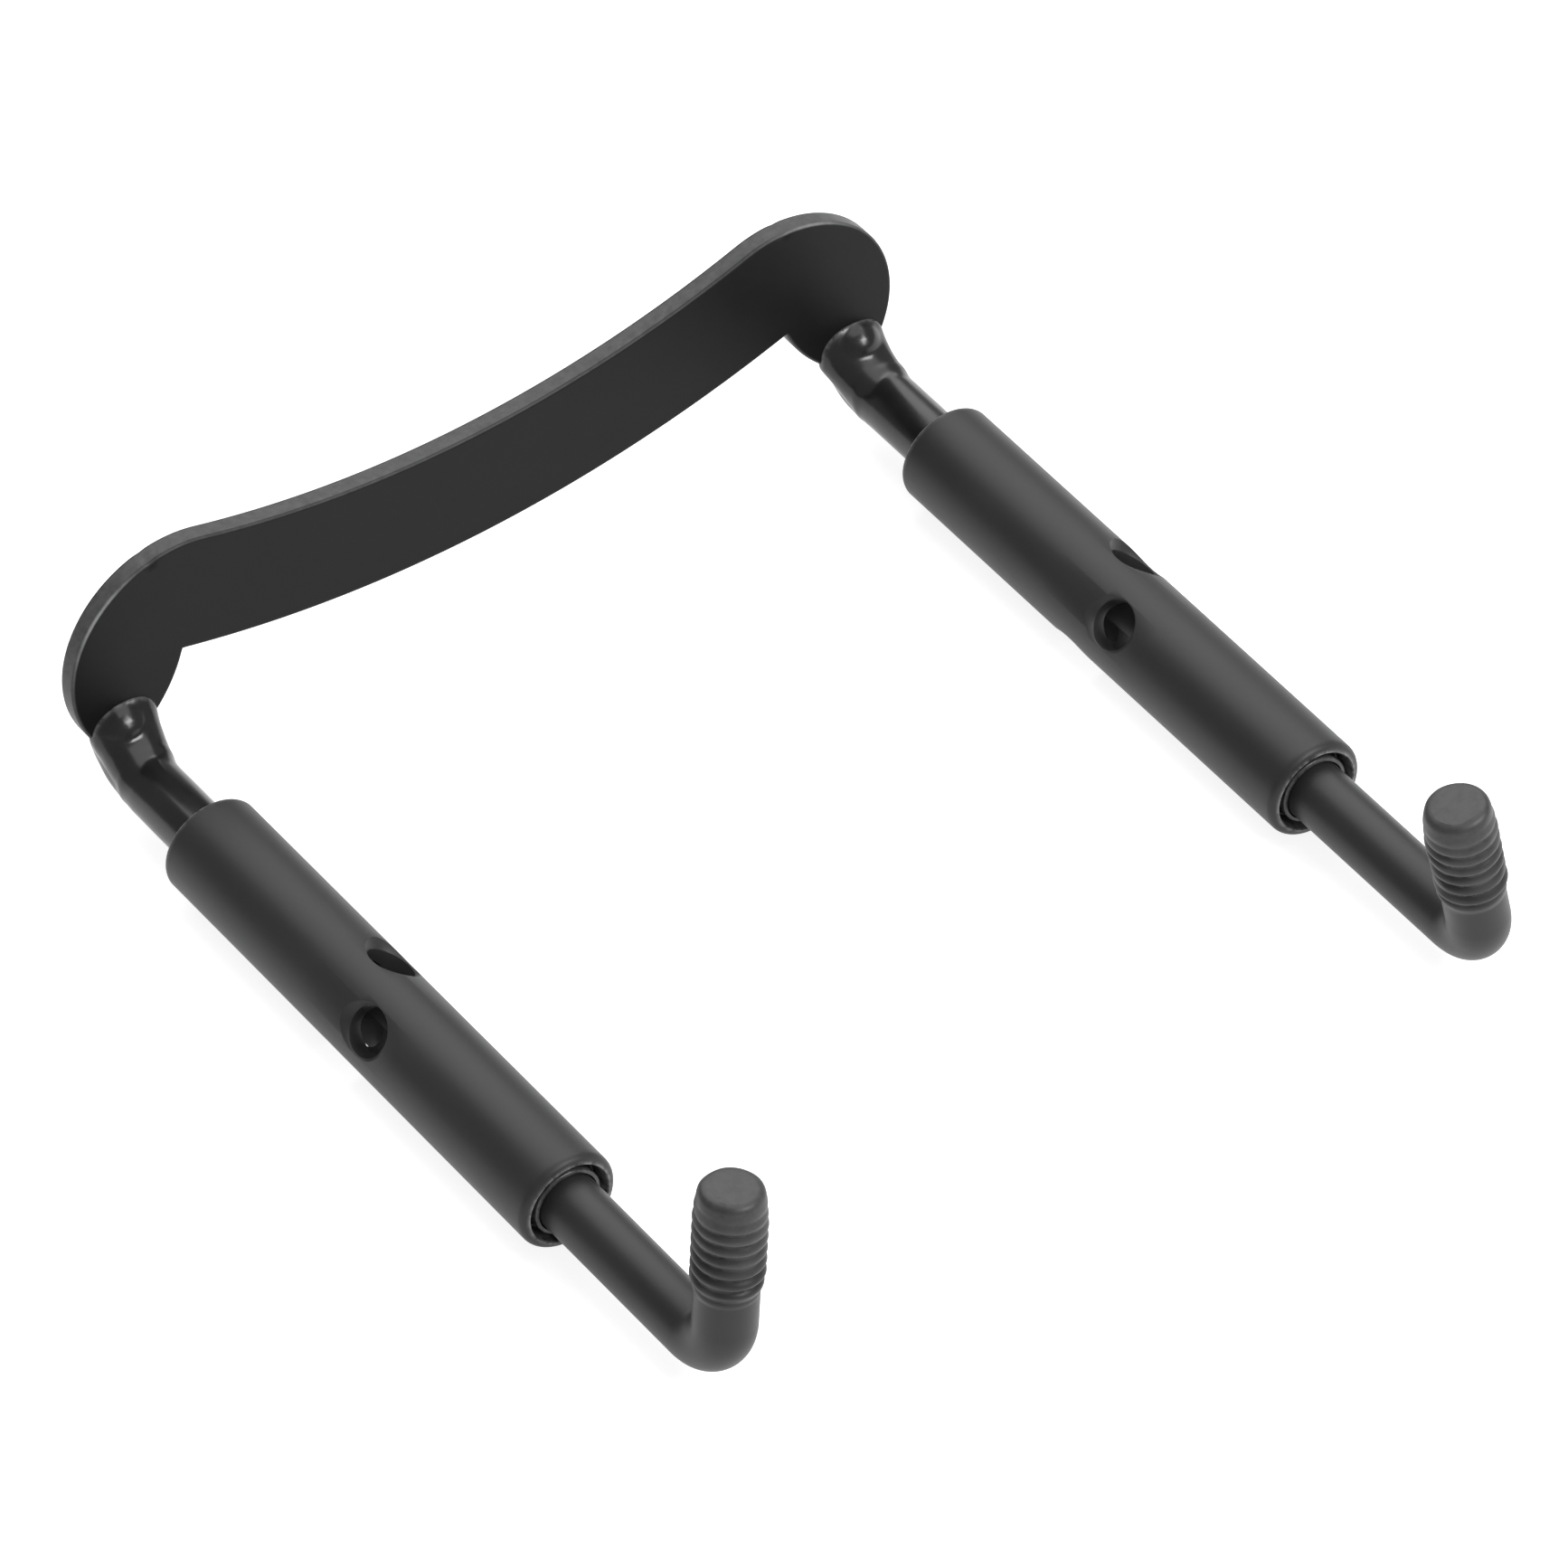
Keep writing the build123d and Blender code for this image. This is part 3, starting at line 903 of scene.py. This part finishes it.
def sweep_leg(sweep, leg_y, leg_height, seed):
    """Upright leg with its thread, rounded end and end face."""
    upright = (0.0, 1.0)
    thread_start = leg_height - THREAD_LENGTH
    round_start = leg_height - TIP_CHAMFER

    def threaded(turn, z):
        radius, crest = thread_radius(z, turn, thread_start, seed)
        rubbed = clamp((z - thread_start - CREST_WEAR_START) / CREST_WEAR_FADE)
        return radius, CREST_WEAR * crest * rubbed

    def rounded(turn, z, share):
        radius = min(thread_radius(z, turn, thread_start, seed)[0], TIP_R - TIP_SHOULDER)
        return radius - TIP_ROUND * (1.0 - math.sqrt(1.0 - share * share)), TIP_WEAR

    z = HOOK_BEND_R
    while z < round_start:
        sweep.add(leg_y, z, upright, lambda turn, z=z: threaded(turn, z))
        z += THREAD_STEP if z > thread_start - THREAD_LEAD else LEG_STEP
    for i in range(TIP_STEPS):
        share = i / (TIP_STEPS - 1)
        z = round_start + TIP_CHAMFER * share
        sweep.add(leg_y, z, upright, lambda turn, z=z, share=share: rounded(turn, z, share))
    for radius in TIP_FACE_RINGS:
        sweep.add_round(leg_y, leg_height, upright, radius, TIP_FACE_WEAR)


def make_hook(side):
    """Headed shank, bend and threaded leg as one skin."""
    axis = AXIS[side]
    head_y = box_mm(f"{side}_hook")[1].y
    tip = [mount for mount in frame["record"]["mounts"] if mount["name"] == f"{side}_tip"][0]
    leg_y = tip["pos_m"][1] / MM
    tip_at = Vector(tip["pos_m"]) / MM - Vector((axis["x"], leg_y, axis["z"]))
    leg_height = tip_at.length + tip["dims"]["length_mm"] / 2 + TIP_CHAMFER

    sweep = Sweep()
    sweep_shank(sweep, head_y, leg_y + HOOK_BEND_R)
    sweep_bend(sweep, leg_y + HOOK_BEND_R)
    sweep_leg(sweep, leg_y, leg_height, HOOK_SEEDS[side])

    rotate = Matrix.Rotation(math.radians(HOOK_TURNS[side]), 3, "Y")
    placed = []
    for point in sweep.points:
        turned = rotate @ Vector((point.x, 0, point.z))
        placed.append((axis["x"] + turned.x, point.y, axis["z"] + turned.z))
    hook = make_object("hook", placed, capped_faces(sweep.rings, HOOK_SEGMENTS), 50.0, sweep.wear_and_painted_light)
    fix_normals(hook)
    return hook


# ---------------------------------------------------------------- assembly

finish_piece(make_plate(), "foot_plate_skin", PLATE_PAINT, "foot", "plate_black", "foot_plate")
for side in SIDES:
    finish_piece(make_neck(side), f"{side}_neck", NECK_PAINT, "foot", "weld_black",
                 f"{side}_stud", f"{side}_weld")
    finish_piece(make_barrel(side), f"{side}_barrel_skin", BARREL_PAINT, f"{side}_barrel", "barrel_black",
                 f"{side}_barrel")
    finish_piece(make_bush(side), f"{side}_bush_skin", BUSH_PAINT, f"{side}_bush", "bush_black",
                 f"{side}_bush")
    finish_piece(make_hook(side), f"{side}_hook_skin", WIRE_PAINT, f"{side}_hook", "wire_black",
                 f"{side}_hook")


# ---------------------------------------------------------------- floor, light and camera

FLOOR_HALF = 3.0
FLOOR_GREY = 0.45
# The floor glows, so that it comes out as white as a lit backdrop
FLOOR_GLOW = 0.85
WORLD_STRENGTH = 0.35
# Softboxes: place, width, height and power, in metres and watts
SOFTBOXES = {
    "softbox_back": ((0.16, 0.30, 0.38), 0.62, 0.42, 2.2),
    "softbox_top": ((0.15, 0.0, 0.50), 0.46, 0.46, 1.3),
    "softbox_front": ((0.17, -0.33, 0.33), 0.22, 0.18, 1.9),
}

CAMERA_AZIMUTH = -31.9
CAMERA_ELEVATION = 44.2
CAMERA_ROLL = -4.67
CAMERA_DISTANCE = 0.5378
CAMERA_LENS = 304.2
SENSOR_WIDTH = 36.0
# The camera aims at this point, in millimetres: along x, in front of the grip face, above the rods
CAMERA_AIM = (-2.18, 25.0, 7.39)


def make_floor():
    corners = [(x * FLOOR_HALF, y * FLOOR_HALF, 0) for x, y in ((-1, -1), (1, -1), (1, 1), (-1, 1))]
    mesh = bpy.data.meshes.new("floor")
    mesh.from_pydata(corners, [], [(0, 1, 2, 3)])
    floor = bpy.data.objects.new("floor", mesh)
    bpy.context.scene.collection.objects.link(floor)
    material = bpy.data.materials.new("floor_paper")
    material.use_nodes = True
    shader = material.node_tree.nodes["Principled BSDF"]
    shader.inputs["Base Color"].default_value = grey(FLOOR_GREY)
    shader.inputs["Roughness"].default_value = 0.9
    shader.inputs["Specular IOR Level"].default_value = 0.1
    shader.inputs["Emission Color"].default_value = (1, 1, 1, 1)
    shader.inputs["Emission Strength"].default_value = FLOOR_GLOW
    mesh.materials.append(material)


def add_softbox(name, place, width, height, power):
    """Rectangular soft light that faces the object."""
    data = bpy.data.lights.new(name, "AREA")
    data.shape = "RECTANGLE"
    data.size = width
    data.size_y = height
    data.energy = power
    light = bpy.data.objects.new(name, data)
    light.location = place
    light.rotation_euler = (-Vector(place)).to_track_quat("-Z", "Y").to_euler()
    bpy.context.scene.collection.objects.link(light)


def make_world():
    world = bpy.data.worlds.new("studio")
    world.use_nodes = True
    background = world.node_tree.nodes["Background"]
    background.inputs["Color"].default_value = (1, 1, 1, 1)
    background.inputs["Strength"].default_value = WORLD_STRENGTH
    bpy.context.scene.world = world


def make_camera():
    """Camera at its azimuth, elevation and roll about the point it aims at."""
    azimuth, elevation = math.radians(CAMERA_AZIMUTH), math.radians(CAMERA_ELEVATION)
    roll = math.radians(CAMERA_ROLL)
    aim_x, in_front, above = CAMERA_AIM
    target = Vector((aim_x * MM, (GRIP_Y - in_front) * MM, (AXIS_Z + above) * MM))
    back = Vector((math.sin(azimuth) * math.cos(elevation), -math.cos(azimuth) * math.cos(elevation),
                   math.sin(elevation)))
    level = Vector((math.cos(azimuth), math.sin(azimuth), 0))
    up = back.cross(level)
    right = math.cos(roll) * level + math.sin(roll) * up
    top = back.cross(right)
    data = bpy.data.cameras.new("camera")
    data.sensor_width = SENSOR_WIDTH
    data.lens = CAMERA_LENS
    data.clip_start = 0.01
    camera = bpy.data.objects.new("camera", data)
    rotation = Matrix((right, top, back)).transposed().to_4x4()
    camera.matrix_world = Matrix.Translation(target + back * CAMERA_DISTANCE) @ rotation
    bpy.context.scene.collection.objects.link(camera)
    bpy.context.scene.camera = camera


bpy.context.scene.view_settings.view_transform = "Standard"
make_floor()
make_world()
for name, softbox in SOFTBOXES.items():
    add_softbox(name, *softbox)
make_camera()
